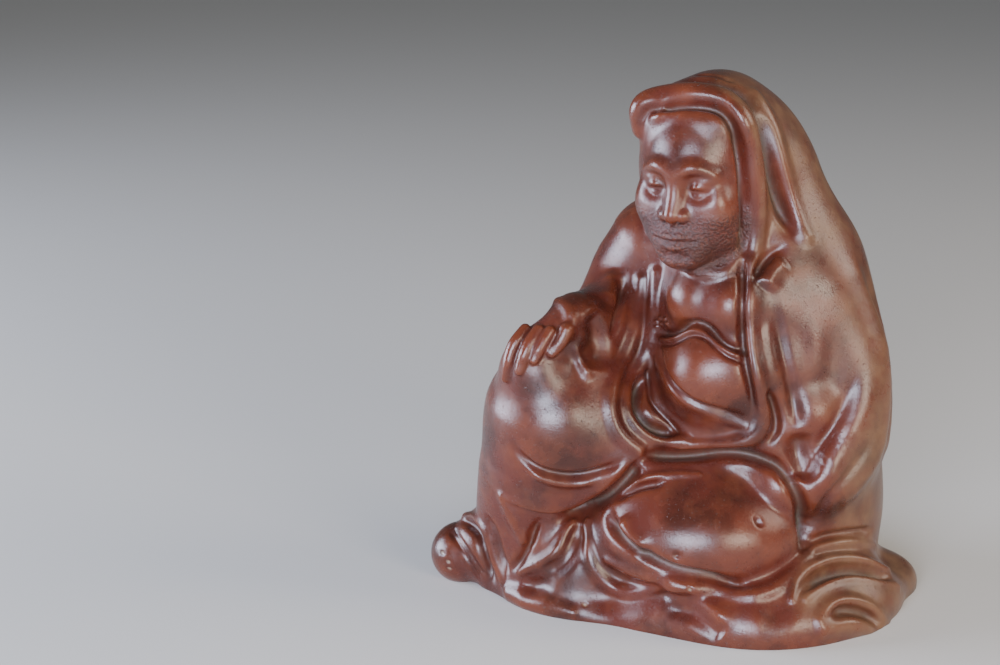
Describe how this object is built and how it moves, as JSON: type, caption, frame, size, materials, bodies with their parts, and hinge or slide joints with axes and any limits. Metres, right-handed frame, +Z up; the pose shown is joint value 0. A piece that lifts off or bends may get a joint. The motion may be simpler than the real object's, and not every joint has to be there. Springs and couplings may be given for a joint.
{
  "type": "bodhidharma statue",
  "caption": "Seated figure in a hooded mantle with bared chest, one knee drawn up under a resting hand, the other laid flat, its robe hem spread round a flat foot.",
  "frame": {"origin": "middle of the bounding box's footprint, on the plane the figure stands on", "axes": "+Z up, the figure faces -Y, and its own left hand is towards +X"},
  "size_m": [0.1544, 0.1296, 0.183],
  "materials": {
    "stoneware": "unglazed, wood fired, low sheen"
  },
  "bodies": {
    "root": {"seated_figure": "stoneware"}
  },
  "joints": []
}
